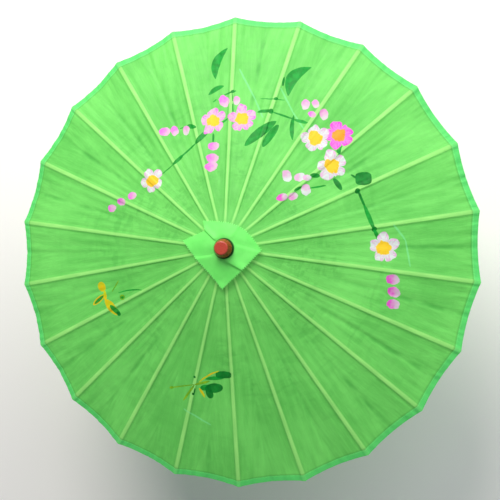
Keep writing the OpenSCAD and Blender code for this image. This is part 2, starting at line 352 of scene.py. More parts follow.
def makeNylonGroup():
    tree, _, result = newGroup(
        "dyed_nylon", [], [("Colour", "Color"), ("Height", "Float"), ("Roughness", "Float")])
    across, along, _ = split(tree, mapNamed(tree, "strip"))
    plan = mapNamed(tree, "plan")
    planX, planY, _ = split(tree, plan)
    aside = calc(tree, "ABSOLUTE", across)
    # uneven dye in large soft patches, and streaks that run with the gore
    patches = noiseAt(tree, plan, 7, 3)
    streaks = noiseAt(tree, join(tree, times(tree, across, 9), along), 14, 4, 0.6)
    cloudy = times(tree, patches, 0.7)
    cloudy = plus(tree, cloudy, times(tree, streaks, 0.5))
    colour = mixColour(tree, fade(tree, cloudy, 0.42, 0.78), nylon["deepGreen"], nylon["green"])
    # painted shade along the fold line midway between two ribs, stronger in some places than in others
    halfWidth = times(tree, along, math.sin(halfStep))
    fromFold = minus(tree, halfWidth, aside)
    wearAndFoldBreaks = noiseAt(tree, plan, 30, 2)
    foldShade = times(tree, fade(tree, fromFold, 0.0060, 0.0006), fade(tree, along, 0.10, 0.28))
    foldShade = times(tree, foldShade, fade(tree, wearAndFoldBreaks, 0.35, 0.7, 0.10, 0.75))
    foldShade = times(tree, foldShade, fade(tree, noiseAt(tree, plan, 5, 1), 0.38, 0.58))
    colour = mixColour(tree, foldShade, colour, nylon["shadeGreen"])
    # short wrinkles across the gore, most of them in the inner half
    ripples = noiseAt(tree, join(tree, across, times(tree, along, 2.6)), 36, 3, 0.5)
    rippleShare = fade(tree, along, 0.05, 0.10)
    rippleShare = times(tree, rippleShare, fade(tree, along, 0.33, 0.17, 0.25, 1.0))
    rippleShare = times(tree, rippleShare, fade(tree, noiseAt(tree, plan, 11, 1), 0.40, 0.60))
    rippleShade = times(tree, rippleShare, fade(tree, ripples, 0.56, 0.34, 0.0, 0.34))
    colour = mixColour(tree, rippleShade, colour, nylon["shadeGreen"])
    # painted highlight: a pale band over each rib, where the cloth on it catches the light, with a line of
    # painted shade beside it
    farShare = fade(tree, along, nylon["bandStart"], rimRadius)
    band = calc(tree, "MULTIPLY_ADD", farShare, nylon["bandFar"] - nylon["bandNear"], nylon["bandNear"])
    beside = minus(tree, aside, band)
    outside = fade(tree, along, 0.030, 0.060)
    ribSideShade = fade(tree, beside, 0.0028, 0.0006)
    ribSideShade = times(tree, ribSideShade, fade(tree, beside, -0.0004, 0.0006))
    ribSideShade = times(tree, ribSideShade, times(tree, outside, 0.14))
    colour = mixColour(tree, ribSideShade, colour, nylon["shadeGreen"])
    ribHighlight = times(tree, fade(tree, beside, 0.0010, -0.0020), outside)
    ribHighlight = times(tree, ribHighlight, fade(tree, streaks, 0.25, 0.75, 0.60, 1.0))
    colour = mixColour(tree, ribHighlight, colour, nylon["highlightAndStitchGreen"])
    # the hem is two layers, so it is paler, and a row of stitches holds it
    fromRim = minus(tree, rimRadius, along)
    hem = fade(tree, fromRim, nylon["hemWidth"] + 0.0006, nylon["hemWidth"] - 0.0006)
    colour = mixColour(tree, times(tree, hem, 0.72), colour, nylon["hemGreen"])
    seamShade = fade(tree, fromRim, nylon["hemWidth"] + nylon["seamFade"], nylon["hemWidth"])
    seamShade = times(tree, seamShade, minus(tree, 1.0, hem))
    colour = mixColour(tree, times(tree, seamShade, 0.45), colour, nylon["shadeGreen"])
    fromSeam = minus(tree, fromRim, nylon["hemWidth"] - nylon["seamInset"])
    fromSeam = calc(tree, "ABSOLUTE", fromSeam)
    dash = calc(tree, "SINE", times(tree, across, 2 * math.pi / nylon["stitch"]))
    stitch = times(tree, fade(tree, fromSeam, 0.0005, 0.0002), fade(tree, dash, -0.3, 0.1))
    colour = mixColour(tree, times(tree, stitch, 0.6), colour, nylon["highlightAndStitchGreen"])
    weave = plainWeave(tree, planX, planY)
    crumple = noiseAt(tree, plan, 55, 4, 0.6)
    wrinkles = noiseAt(tree, join(tree, times(tree, across, 5), along), 75, 5, 0.65)
    height = plus(tree, times(tree, weave, 0.05), crumple)
    height = plus(tree, height, times(tree, wrinkles, 1.5))
    rippleRise = times(tree, ripples, rippleShare)
    height = plus(tree, height, times(tree, rippleRise, 2.0))
    height = plus(tree, height, times(tree, stitch, -0.3))
    tree.links.new(colour, result["Colour"])
    tree.links.new(height, result["Height"])
    tree.links.new(fade(tree, crumple, 0.3, 0.7, 0.42, 0.55), result["Roughness"])
    return tree


nylonGroup = makeNylonGroup()


# painted marks: each group gives the share of the cloth that its paint covers
# the shape of a blossom, in shares of its size
petal = {
    "count": 5,
    "notch": 0.50,          # from the middle to a notch between two petals
    "depth": 0.42,          # a petal stands out past the notch by this much
    "roundness": 0.5,
    "uneven": 0.6,          # how much the petals differ in length
    "skew": 0.45,           # and in width
    "ragged": 0.16,
    "heart": 0.32,
}


def makePetalGroup():
    tree, given, result = newGroup(
        "painted_blossom",
        [("Plan", "Vector"), ("Centre", "Vector"), ("Size", "Float"), ("Turn", "Float")],
        [("Petals", "Float"), ("Heart", "Float"), ("Tone", "Float")])
    wobble = noiseAt(tree, given["Plan"], 120, 2)
    offset = move(tree, "SUBTRACT", given["Plan"], given["Centre"])
    x, y, _ = split(tree, offset)
    far = calc(tree, "DIVIDE", move(tree, "LENGTH", offset), given["Size"])
    # no two petals are as long: the noise is read round a circle, in another place for each blossom
    circle = move(tree, "ADD", move(tree, "NORMALIZE", offset), move(tree, "SCALE", given["Centre"], 60))
    uneven = minus(tree, noiseAt(tree, circle, 1.3, 1), 0.5)
    angle = minus(tree, calc(tree, "ARCTAN2", y, x), given["Turn"])
    angle = plus(tree, angle, times(tree, uneven, petal["skew"]))
    lobe = calc(tree, "ABSOLUTE", calc(tree, "COSINE", times(tree, angle, petal["count"] / 2)))
    edge = calc(tree, "POWER", lobe, petal["roundness"])
    edge = calc(tree, "MULTIPLY_ADD", edge, petal["depth"], petal["notch"])
    edge = plus(tree, edge, calc(tree, "MULTIPLY_ADD", wobble, petal["ragged"], -petal["ragged"] / 2))
    edge = plus(tree, edge, times(tree, uneven, petal["uneven"]))
    tree.links.new(fade(tree, minus(tree, edge, far), -0.02, 0.04), result["Petals"])
    heartEdge = calc(tree, "MULTIPLY_ADD", wobble, 0.24, petal["heart"])
    heartEdge = plus(tree, heartEdge, times(tree, uneven, -0.35))
    tree.links.new(fade(tree, minus(tree, heartEdge, far), -0.02, 0.04), result["Heart"])
    brushPlace = join(tree, times(tree, lobe, 3), times(tree, far, 1.5),
                      times(tree, wobble, 0.3))
    brush = noiseAt(tree, brushPlace, 3, 2)
    brush = plus(tree, brush, calc(tree, "MULTIPLY_ADD", far, -0.45, 0.32))
    tree.links.new(fade(tree, brush, 0.38, 0.62), result["Tone"])
    return tree


def makeBudGroup():
    tree, given, result = newGroup(
        "painted_bud",
        [("Plan", "Vector"), ("Centre", "Vector"), ("Size", "Float"), ("Turn", "Float")],
        [("Mask", "Float"), ("Tone", "Float")])
    wobble = noiseAt(tree, given["Plan"], 140, 1)
    x, y, _ = split(tree, move(tree, "SUBTRACT", given["Plan"], given["Centre"]))
    cosine = calc(tree, "COSINE", given["Turn"])
    sine = calc(tree, "SINE", given["Turn"])
    long = plus(tree, times(tree, x, cosine), times(tree, y, sine))
    wide = minus(tree, times(tree, y, cosine), times(tree, x, sine))
    far = move(tree, "LENGTH", join(tree, long, times(tree, wide, 1.35)))
    far = calc(tree, "DIVIDE", far, given["Size"])
    edge = calc(tree, "MULTIPLY_ADD", wobble, 0.5, 0.72)
    tree.links.new(fade(tree, minus(tree, edge, far), -0.05, 0.08), result["Mask"])
    lean = calc(tree, "DIVIDE", long, given["Size"])
    lean = plus(tree, lean, calc(tree, "MULTIPLY_ADD", wobble, 1.6, -0.8))
    tree.links.new(fade(tree, lean, -0.6, 0.7), result["Tone"])
    return tree


def makeStrokeGroup():
    # a brush stroke from one point to another; a full one is a leaf and a slack one a stem
    tree, given, result = newGroup(
        "painted_stroke",
        [("Plan", "Vector"), ("From", "Vector"), ("To", "Vector"), ("Width", "Float"), ("Bend", "Float"),
         ("Fullness", "Float")],
        [("Mask", "Float"), ("Tone", "Float")])
    wobble = noiseAt(tree, given["Plan"], 90, 2)
    run = move(tree, "SUBTRACT", given["To"], given["From"])
    offset = move(tree, "SUBTRACT", given["Plan"], given["From"])
    length = move(tree, "LENGTH", run)
    along = move(tree, "DOT_PRODUCT", offset, run)
    along = calc(tree, "DIVIDE", along, times(tree, length, length))
    runX, runY, _ = split(tree, run)
    x, y, _ = split(tree, offset)
    aside = minus(tree, times(tree, y, runX), times(tree, x, runY))
    aside = calc(tree, "DIVIDE", aside, length)
    belly = times(tree, times(tree, along, minus(tree, 1.0, along)), 4.0)
    belly = calc(tree, "MAXIMUM", belly, 0.0)
    aside = minus(tree, aside, times(tree, belly, given["Bend"]))
    aside = plus(tree, aside, calc(tree, "MULTIPLY_ADD", wobble, 0.0016, -0.0008))
    half = times(tree, given["Width"], calc(tree, "POWER", belly, given["Fullness"]))
    gap = minus(tree, half, calc(tree, "ABSOLUTE", aside))
    inside = calc(tree, "GREATER_THAN", belly, 0.0)
    tree.links.new(times(tree, fade(tree, gap, -0.0003, 0.0006), inside), result["Mask"])
    tree.links.new(fade(tree, wobble, 0.35, 0.65), result["Tone"])
    return tree


petalGroup = makePetalGroup()
budGroup = makeBudGroup()
strokeGroup = makeStrokeGroup()

# each paint has a darker and a lighter colour
paint = {
    "pink": (tint(232, 112, 222), tint(226, 182, 214)),
    "palePink": (tint(228, 150, 212), tint(216, 200, 212)),
    "magenta": (tint(238, 60, 216), tint(240, 120, 222)),
    "deepPink": (tint(226, 78, 204), tint(214, 186, 212)),
    "white": (tint(224, 172, 216), tint(218, 226, 228)),
    "yellow": (tint(226, 190, 10), tint(196, 206, 24)),
    "leaf": (tint(4, 136, 42), tint(12, 160, 54)),
    "darkLeaf": (tint(0, 110, 34), tint(4, 134, 44)),
    "olive": (tint(84, 158, 26), tint(136, 190, 34)),
    "crease": (tint(138, 244, 176), tint(138, 244, 176)),
    "heart": (tint(242, 158, 0), tint(246, 204, 0)),
    "orangeHeart": (tint(238, 96, 0), tint(244, 160, 0)),
    "cover": 0.96,          # how well the paint hides the green
    "creaseCover": 0.36,
}

# places on the canopy: degrees round from the first rib, and share of the way to the rim
blossoms = [
    {"at": (106, 0.540), "size": 0.0255, "turn": 36, "petals": "pink", "heart": "heart"},
    {"at": (93, 0.540), "size": 0.0260, "turn": 33, "petals": "pink", "heart": "heart"},
    {"at": (147, 0.442), "size": 0.0245, "turn": 55, "petals": "white", "heart": "heart"},
    {"at": (54, 0.635), "size": 0.0265, "turn": 44, "petals": "magenta", "heart": "orangeHeart"},
    {"at": (60, 0.565), "size": 0.0265, "turn": 38, "petals": "white", "heart": "heart"},
    {"at": (46.5, 0.530), "size": 0.0275, "turn": 38, "petals": "white", "heart": "heart"},
    {"at": (8, 0.615), "size": 0.0270, "turn": 30, "petals": "white", "heart": "heart"},
]

# place, size, the way that the brush went, paint
buds = [
    ((101, 0.620), 0.0120, 310, "pink"), ((96, 0.620), 0.0085, 280, "palePink"),
    ((128, 0.578), 0.0108, 5, "pink"), ((124, 0.558), 0.0098, 300, "pink"),
    ((119, 0.535), 0.0088, 280, "palePink"), ((107, 0.430), 0.0105, 10, "pink"),
    ((108.5, 0.380), 0.0112, 0, "pink"), ((110, 0.345), 0.0115, 10, "pink"),
    ((159.5, 0.485), 0.0092, 20, "pink"), ((164.5, 0.520), 0.0092, 350, "pink"),
    ((169, 0.555), 0.0092, 10, "pink"), ((70.5, 0.665), 0.0098, 280, "palePink"),
    ((67.5, 0.685), 0.0084, 300, "palePink"), ((66.5, 0.640), 0.0074, 340, "pink"),
    ((63, 0.665), 0.0104, 290, "palePink"), ((58.5, 0.375), 0.0106, 300, "white"),
    ((52.5, 0.405), 0.0100, 10, "white"), ((49.5, 0.425), 0.0074, 0, "white"),
    ((50.5, 0.300), 0.0094, 20, "deepPink"), ((46, 0.335), 0.0084, 40, "palePink"),
    ((44.5, 0.390), 0.0104, 280, "white"), ((357, 0.660), 0.0116, 0, "deepPink"),
    ((353, 0.675), 0.0116, 340, "deepPink"), ((349, 0.685), 0.0114, 0, "deepPink"),
]

# from, to, half width, bend to the left on the way (metres), fullness, paint
strokes = [
    # lines where the cloth was folded away
    ((96, 0.760), (89, 0.628), 0.0017, 0.0, 0.15, "crease"),
    ((89, 0.628), (84, 0.555), 0.0017, 0.0, 0.15, "crease"),
    ((81, 0.695), (73.5, 0.615), 0.0016, 0.0, 0.15, "crease"),
    ((73.5, 0.615), (66, 0.570), 0.0015, 0.0, 0.15, "crease"),
    ((16, 0.660), (10.5, 0.700), 0.0018, 0.0, 0.15, "crease"),
    ((10.5, 0.700), (2, 0.720), 0.0015, 0.0, 0.15, "crease"),
    ((260, 0.700), (270, 0.740), 0.0016, 0.0, 0.15, "crease"),
    # leaves
    ((100, 0.860), (104, 0.725), 0.0083, -0.0100, 0.75, "leaf"),
    ((107, 0.660), (101, 0.688), 0.0048, 0.0028, 0.70, "leaf"),
    ((77.5, 0.670), (74.5, 0.822), 0.0108, 0.0140, 0.80, "leaf"),
    ((81, 0.745), (80.5, 0.705), 0.0022, 0.0, 0.50, "darkLeaf"),
    ((89.5, 0.425), (78, 0.555), 0.0086, 0.0017, 0.65, "leaf"),
    ((79.5, 0.435), (76.5, 0.543), 0.0064, 0.0010, 0.50, "leaf"),
    ((81, 0.540), (80.5, 0.500), 0.0010, 0.0, 0.30, "darkLeaf"),
    ((80.5, 0.500), (82, 0.470), 0.0010, 0.0, 0.30, "darkLeaf"),
    ((72.5, 0.605), (67.5, 0.508), 0.0038, -0.0024, 0.65, "leaf"),
    ((118, 0.554), (114, 0.530), 0.0040, 0.0, 0.60, "leaf"),
    ((108.5, 0.503), (116.5, 0.462), 0.0048, -0.0010, 0.50, "leaf"),
    ((36.5, 0.576), (34, 0.634), 0.0112, 0.0, 0.22, "darkLeaf"),
    ((39, 0.570), (36.5, 0.582), 0.0018, 0.0, 0.40, "darkLeaf"),
    ((41.5, 0.505), (35, 0.509), 0.0044, 0.0, 0.50, "darkLeaf"),
    ((49.5, 0.440), (46, 0.468), 0.0042, 0.0, 0.60, "leaf"),
    ((50, 0.582), (49, 0.592), 0.0034, 0.0, 0.50, "leaf"),
    # stems and twigs
    ((101, 0.647), (96.5, 0.662), 0.0017, 0.0, 0.25, "leaf"),
    ((98.5, 0.656), (97, 0.661), 0.0030, 0.0, 0.50, "leaf"),
    ((105.5, 0.624), (104, 0.633), 0.0013, 0.0, 0.30, "leaf"),
    ((98, 0.655), (97.5, 0.615), 0.0010, 0.0, 0.15, "leaf"),
    ((97.5, 0.605), (97, 0.550), 0.0011, 0.0, 0.15, "leaf"),
    ((102.5, 0.523), (99.5, 0.540), 0.0019, 0.0, 0.30, "leaf"),
    ((99.5, 0.540), (96, 0.554), 0.0013, 0.0, 0.20, "leaf"),
    ((121.5, 0.555), (118, 0.552), 0.0010, 0.0, 0.20, "leaf"),
    ((116.5, 0.462), (127, 0.436), 0.0018, 0.0, 0.20, "leaf"),
    ((124.5, 0.441), (132.5, 0.427), 0.0034, 0.0, 0.55, "leaf"),
    ((132, 0.427), (141.5, 0.430), 0.0011, 0.0, 0.30, "leaf"),
    ((106.5, 0.485), (107, 0.447), 0.0020, 0.0, 0.25, "leaf"),
    ((87, 0.575), (80.5, 0.590), 0.0032, 0.0010, 0.40, "leaf"),
    ((82.5, 0.587), (80.5, 0.590), 0.0046, 0.0, 0.50, "leaf"),
    ((80.5, 0.587), (72, 0.588), 0.0018, 0.0, 0.25, "leaf"),
    ((71.5, 0.587), (66, 0.600), 0.0030, 0.0, 0.50, "leaf"),
    ((87, 0.634), (78, 0.651), 0.0010, 0.0, 0.20, "leaf"),
    ((82, 0.642), (80.5, 0.648), 0.0030, 0.0, 0.50, "leaf"),
    ((48.5, 0.352), (47.5, 0.386), 0.0024, 0.0, 0.50, "leaf"),
    ((44, 0.407), (40.5, 0.465), 0.0015, 0.0, 0.35, "leaf"),
    ((50.5, 0.612), (48, 0.577), 0.0022, 0.0, 0.25, "leaf"),
    ((32.5, 0.556), (31, 0.568), 0.0048, 0.0, 0.40, "darkLeaf"),
    ((32, 0.564), (25, 0.567), 0.0022, 0.0, 0.15, "darkLeaf"),
    ((25.5, 0.566), (15, 0.583), 0.0036, 0.0, 0.35, "leaf"),
    ((16, 0.578), (14.5, 0.589), 0.0046, 0.0, 0.40, "darkLeaf"),
    ((15.5, 0.582), (10, 0.601), 0.0034, 0.0, 0.45, "leaf"),
    # a flying insect in yellow
    ((201, 0.602), (205, 0.590), 0.0078, 0.0, 0.45, "yellow"),
    ((205, 0.586), (209, 0.597), 0.0032, 0.0, 0.30, "yellow"),
    ((208.5, 0.598), (217, 0.564), 0.0078, 0.0, 0.60, "yellow"),
    ((211.5, 0.582), (217.5, 0.556), 0.0048, 0.0, 0.55, "leaf"),
    ((215.5, 0.568), (217.5, 0.556), 0.0036, 0.0, 0.55, "darkLeaf"),
    ((206.5, 0.592), (208.5, 0.664), 0.0050, 0.0, 0.60, "yellow"),
    ((206.7, 0.598), (208.4, 0.656), 0.0032, 0.0, 0.60, "leaf"),
    ((206.5, 0.552), (202.5, 0.506), 0.0013, 0.0, 0.30, "olive"),
    ((208, 0.524), (212, 0.410), 0.0014, 0.0023, 0.30, "leaf"),
    ((210, 0.522), (211.5, 0.502), 0.0048, 0.0, 0.40, "olive"),
    ((210.5, 0.517), (211.2, 0.507), 0.0026, 0.0, 0.40, "leaf"),
    # a flying insect in dark green
    ((266, 0.545), (275, 0.525), 0.0034, 0.0, 0.50, "leaf"),
    ((270.5, 0.518), (278, 0.513), 0.0064, 0.0, 0.25, "darkLeaf"),
    ((264.5, 0.590), (269, 0.574), 0.0054, 0.0, 0.50, "leaf"),
    ((266.5, 0.588), (274, 0.568), 0.0084, 0.0, 0.45, "darkLeaf"),
    ((267.5, 0.585), (269.5, 0.622), 0.0064, 0.0, 0.35, "darkLeaf"),
    ((263.5, 0.565), (272, 0.500), 0.0014, 0.0018, 0.30, "yellow"),
    ((264, 0.590), (267, 0.624), 0.0022, 0.0, 0.50, "yellow"),
    ((262, 0.581), (268, 0.551), 0.0024, 0.0, 0.40, "olive"),
    ((252.5, 0.640), (262, 0.581), 0.0012, 0.0, 0.25, "olive"),
    ((252.5, 0.640), (254, 0.630), 0.0026, 0.0, 0.50, "olive"),
    ((259, 0.666), (262, 0.583), 0.0022, 0.0, 0.35, "olive"),
    ((262.5, 0.627), (262.5, 0.595), 0.0014, 0.0, 0.30, "darkLeaf"),
    ((262, 0.627), (262.5, 0.618), 0.0024, 0.0, 0.50, "darkLeaf"),
    ((261, 0.553), (261.5, 0.544), 0.0026, 0.0, 0.50, "darkLeaf"),
]


def onCanopy(place):
    turn = math.radians(place[0])
    return Vector((math.cos(turn), math.sin(turn), 0)) * place[1] * rimRadius


def listMarks():
    # every painted mark with a point and a distance that it stays within
    marks = []
    for stroke in strokes:
        start, end = onCanopy(stroke[0]), onCanopy(stroke[1])
        width, bend, fullness, colour = stroke[2:]
        values = {"From": start, "To": end, "Width": width, "Bend": bend, "Fullness": fullness}
        reach = (end - start).length / 2 + width + abs(bend)
        marks.append({"kind": "stroke", "centre": (start + end) / 2, "reach": reach, "values": values,
                      "paint": colour})
    for place, size, turn, colour in buds:
        centre = onCanopy(place)
        values = {"Centre": centre, "Size": size, "Turn": math.radians(turn)}
        marks.append({"kind": "bud", "centre": centre, "reach": size * 1.3, "values": values,
                      "paint": colour})
    for blossom in blossoms:
        centre = onCanopy(blossom["at"])
        values = {"Centre": centre, "Size": blossom["size"], "Turn": math.radians(blossom["turn"])}
        marks.append({"kind": "blossom", "centre": centre, "reach": blossom["size"] * 1.2, "values": values,
                      "paint": blossom["petals"], "heart": blossom["heart"]})
    return marks


def paintMark(tree, colour, plan, mark):
    dark, light = paint[mark["paint"]]
    group = {"stroke": strokeGroup, "bud": budGroup, "blossom": petalGroup}[mark["kind"]]
    found = useGroup(tree, group, Plan=plan, **mark["values"])
    mask = found["Petals" if mark["kind"] == "blossom" else "Mask"]
    brushed = mixColour(tree, found["Tone"], dark, light)
    cover = paint["creaseCover" if mark["paint"] == "crease" else "cover"]
    colour = mixColour(tree, times(tree, mask, cover), colour, brushed)
    if mark["kind"] == "blossom":
        dark, light = paint[mark["heart"]]
        brushed = mixColour(tree, found["Tone"], dark, light)
        colour = mixColour(tree, times(tree, found["Heart"], paint["cover"]), colour, brushed)
    return colour


def closeCloth(tree, colour, roughness, bump, throughLight):
    # part of the light is thrown back and part comes through the cloth
    front = tree.nodes.new("ShaderNodeBsdfPrincipled")
    front.inputs["Sheen Weight"].default_value = 0.05
    front.inputs["Sheen Roughness"].default_value = 0.4
    front.inputs["Specular IOR Level"].default_value = 0.20
    plug(tree, front.inputs["Base Color"], colour)
    plug(tree, front.inputs["Roughness"], roughness)
    plug(tree, front.inputs["Normal"], bump)
    behind = tree.nodes.new("ShaderNodeBsdfTranslucent")
    plug(tree, behind.inputs["Color"], colour)
    plug(tree, behind.inputs["Normal"], bump)
    both = tree.nodes.new("ShaderNodeMixShader")
    both.inputs[0].default_value = throughLight
    tree.links.new(front.outputs[0], both.inputs[1])
    tree.links.new(behind.outputs[0], both.inputs[2])
    closeMaterial(tree, both.outputs[0])


def makeClothMaterial(name, marks):
    material, tree = newMaterial(name)
    cloth = useGroup(tree, nylonGroup)
    colour = cloth["Colour"]
    if marks:
        plan = mapNamed(tree, "plan")
        for mark in marks:
            colour = paintMark(tree, colour, plan, mark)
    bump = addBump(tree, cloth["Height"], 0.35, 0.0009)
    closeCloth(tree, colour, cloth["Roughness"], bump, nylon["throughLight"])
    return material


# the canopy's cloth is cut in strips, one row of them for each rib, so that it can fold with the ribs
canopy = {
    "sag": 0.002,           # how far the cloth between two ribs hangs at the rim
    "rimDip": 0.004,        # how far the edge between two ribs curves in
    "neckRadius": 0.008,
    "crownRadius": 0.0195,
    "drapeRadius": 0.072,
    "lift": 0.0003,         # the drawn cloth above the underside of the solid one
    "loft": 0.0011,         # more lift away from the hub, so that the folded cloth still covers the ribs
    "ridge": 0.0011,        # how far the cloth over a rib stands above the cloth beside it
    "ridgeSlope": 0.0026,
    "crease": 0.0009,       # depth of the fold line midway between two ribs
    "creaseWidth": 0.0035,
    "streak": 0.0012,       # height of long soft folds
    "ripple": 0.0006,       # height of cross ripples
    "crumple": 0.00035,
    "pucker": 0.0012,       # gathers along the hem
    "hemFold": 0.0008,      # thickness of the turned hem
    "hemBulge": 0.0003,     # the fold of the hem stands out past the rim
    "hemTuck": 0.0002,
    "crownDrop": 0.0006,    # the drawn crown below the top of the solid cloth
    "overRib": 0.00185,     # the solid cloth's underside above the ribs' middle line
    "bendFrom": 0.017,      # two distances near the hub, this one and the next
    "bendTo": 0.027,
    "sideColumns": 22,
}

# name, inner radius, outer radius, rows, share of its width (None for the ring that stays in place; the
# others ride on their ribs)
rings = [
    ("cloth_shoulder", 0.008, 0.034, 8, None),
    ("cloth_inner", 0.034, 0.090, 15, 0.33),
    ("cloth_middle", 0.090, 0.190, 26, 0.22),
    ("cloth_outer", 0.190, rimRadius, 54, 0.13),
]

crownHeight = canopyHigh.z - canopy["crownDrop"]
rimHeight = canopyLow.z + canopy["sag"]
ribLineHeight = hubHeight + canopy["overRib"]
ribSlope = (ribLineHeight - rimHeight) / (rimRadius - pivotRadius)


def ribLine(radius):
    return ribLineHeight - (radius - pivotRadius) * ribSlope


def clothHeight(radius):
    crownRadius = canopy["crownRadius"]
    if radius < crownRadius:
        return crownHeight
    left = 1 - smooth((radius - crownRadius) / (canopy["drapeRadius"] - crownRadius))
    return ribLine(radius) + left * (crownHeight - ribLine(crownRadius))


def clothRelief(x, y, radius, aside):
    # small shapes of the cloth, from a rib (aside 0) to the fold line between two ribs (aside 1)
    width = radius * math.sin(halfStep)
    fromRib, fromFold = width * aside, width * (1 - aside)
    band = bandWidth(radius)
    grown = smooth((radius - 0.045) / 0.045)
    relief = canopy["ridge"] * grown * (1 - smooth((fromRib - band) / canopy["ridgeSlope"]))
    relief += canopy["loft"] * grown
    sharp = math.exp(-(fromFold / canopy["creaseWidth"]) ** 2)
    relief -= canopy["crease"] * sharp * smooth((radius - 0.13) / 0.14)
    away = max(radius, 0.001)
    cosine, sine = x / away, y / away
    loose = grown * smooth((fromRib - band) / 0.011)
    streak = noise.noise(Vector((cosine * 30, sine * 30, radius * 8)))
    ripple = noise.noise(Vector((cosine * 11 + radius * 20, sine * 11, radius * 62)))
    crumple = noise.noise(Vector((x * 95, y * 95, 5.3)))
    rim = smooth((radius - rimRadius + 0.075) / 0.075)
    pucker = noise.noise(Vector((cosine * 80, sine * 80, radius * 26)))
    relief += loose * canopy["streak"] * streak * smooth((radius - 0.08) / 0.2)
    relief += loose * canopy["ripple"] * ripple * (1 - 0.5 * smooth((radius - 0.15) / 0.15))
    relief += loose * canopy["crumple"] * crumple
    relief += canopy["pucker"] * pucker * rim * smooth((fromRib - band) / 0.006)
    return relief


def clothPoint(rib, across, radius):
    # across is 0 on the rib and 1 or -1 on the fold lines beside it; past those it is on the next strip
    if abs(across) > 1:
        side = 1 if across > 0 else -1
        return clothPoint(rib + side, across - 2 * side, radius)
    side = 1 if across >= 0 else -1
    nearRib = 1 - abs(across)
    outward = (radius - canopy["neckRadius"]) / (rimRadius - canopy["neckRadius"])
    between = 1 - nearRib ** 2
    alongGore = radius * math.cos(halfStep) - canopy["rimDip"] * between * outward ** 12
    acrossGore = -side * radius * math.sin(halfStep) * nearRib
    turn = rib * ribStep + side * halfStep
    x = alongGore * math.cos(turn) - acrossGore * math.sin(turn)
    y = alongGore * math.sin(turn) + acrossGore * math.cos(turn)
    height = clothHeight(radius) + canopy["lift"] - canopy["sag"] * outward * smooth(abs(across))
    return (x, y, height + clothRelief(x, y, radius, abs(across)))


def listRadii():
    radii = [rings[0][1]]
    for _, inner, outer, rows, _ in rings:
        radii += [inner + (outer - inner) * (row + 1) / rows for row in range(rows)]
    return radii


def listColumns():
    # the columns bunch up towards the rib, where the cloth bends most
    count = canopy["sideColumns"]
    side = [(column / count) ** 1.3 for column in range(1, count + 1)]
    return [-value for value in reversed(side)] + [0] + side


def gridNormals(points):
    # normals of a grid that has one spare row and column all round
    right = points[1:-1, 2:] - points[1:-1, :-2]
    outward = points[2:, 1:-1] - points[:-2, 1:-1]
    normals = np.cross(outward, right)
    return normals / np.linalg.norm(normals, axis=2, keepdims=True)


def gridObject(name, points, normals, maps, material):
    rows, columns = points.shape[:2]
    faces = [(row * columns + column, (row + 1) * columns + column,
              (row + 1) * columns + column + 1, row * columns + column + 1)
             for row in range(rows - 1) for column in range(columns - 1)]
    mesh = bpy.data.meshes.new(name)
    mesh.from_pydata(points.reshape(-1, 3).tolist(), [], faces)
    mesh.polygons.foreach_set("use_smooth", [True] * len(faces))
    corners = np.zeros(len(mesh.loops), int)
    mesh.loops.foreach_get("vertex_index", corners)
    for mapName, values in maps.items():
        layer = mesh.uv_layers.new(name=mapName)
        layer.data.foreach_set("uv", values.reshape(-1, 2)[corners].ravel())
    mesh.materials.append(material)
    mesh.update()
    mesh.normals_split_custom_set_from_vertices(normals.reshape(-1, 3).tolist())
    thing = bpy.data.objects.new(name, mesh)
    bpy.context.scene.collection.objects.link(thing)
    return thing


def turnHem(points, normals, strip, plan):
    # the hem turns under the rim and runs back below the cloth
    outer, inner = points[-1], points[-3]
    drop = np.array([0, 0, canopy["hemFold"]])
    inward = (inner - outer) / np.linalg.norm(inner - outer, axis=1, keepdims=True)
    edge = outer - inward * canopy["hemBulge"] - drop * 0.5
    under = outer + inward * canopy["hemTuck"] - drop
    back = outer + inward * nylon["hemWidth"] - drop
    rows = np.stack([edge, under, back])
    levels = [-inward, -normals[-1] - inward * 0.4, -normals[-1]]
    hemNormals = np.stack([level / np.linalg.norm(level, axis=1, keepdims=True) for level in levels])
    hemStrip = np.repeat(strip[-1:], 3, axis=0)
    hemStrip[2, :, 1] -= nylon["hemWidth"]
    hemPlan = np.repeat(plan[-1:], 3, axis=0)
    return [np.concatenate(pair) for pair in
            ((points, rows), (normals, hemNormals), (strip, hemStrip), (plan, hemPlan))]


def bendOrSquash(piece, rib, keep, blendFrom, blendTo):
    # cloth near the hub stays in place; the rest rides on the rib
    ribName = f"rib_{rib + 1:02d}"
    if keep is None:
        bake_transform(piece)
    else:
        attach(piece, ribName)
        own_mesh(piece)


def touches(mark, rib, inner, outer):
    # whether a painted mark may reach into a strip between two radii
    centre = mark["centre"]
    far = centre.length
    if far + mark["reach"] < inner or far - mark["reach"] > outer:
        return False
    offset = math.atan2(centre.y, centre.x) - rib * ribStep
    offset = abs((offset + math.pi) % (2 * math.pi) - math.pi)
    return far * math.sin(max(offset - halfStep, 0)) < mark["reach"]


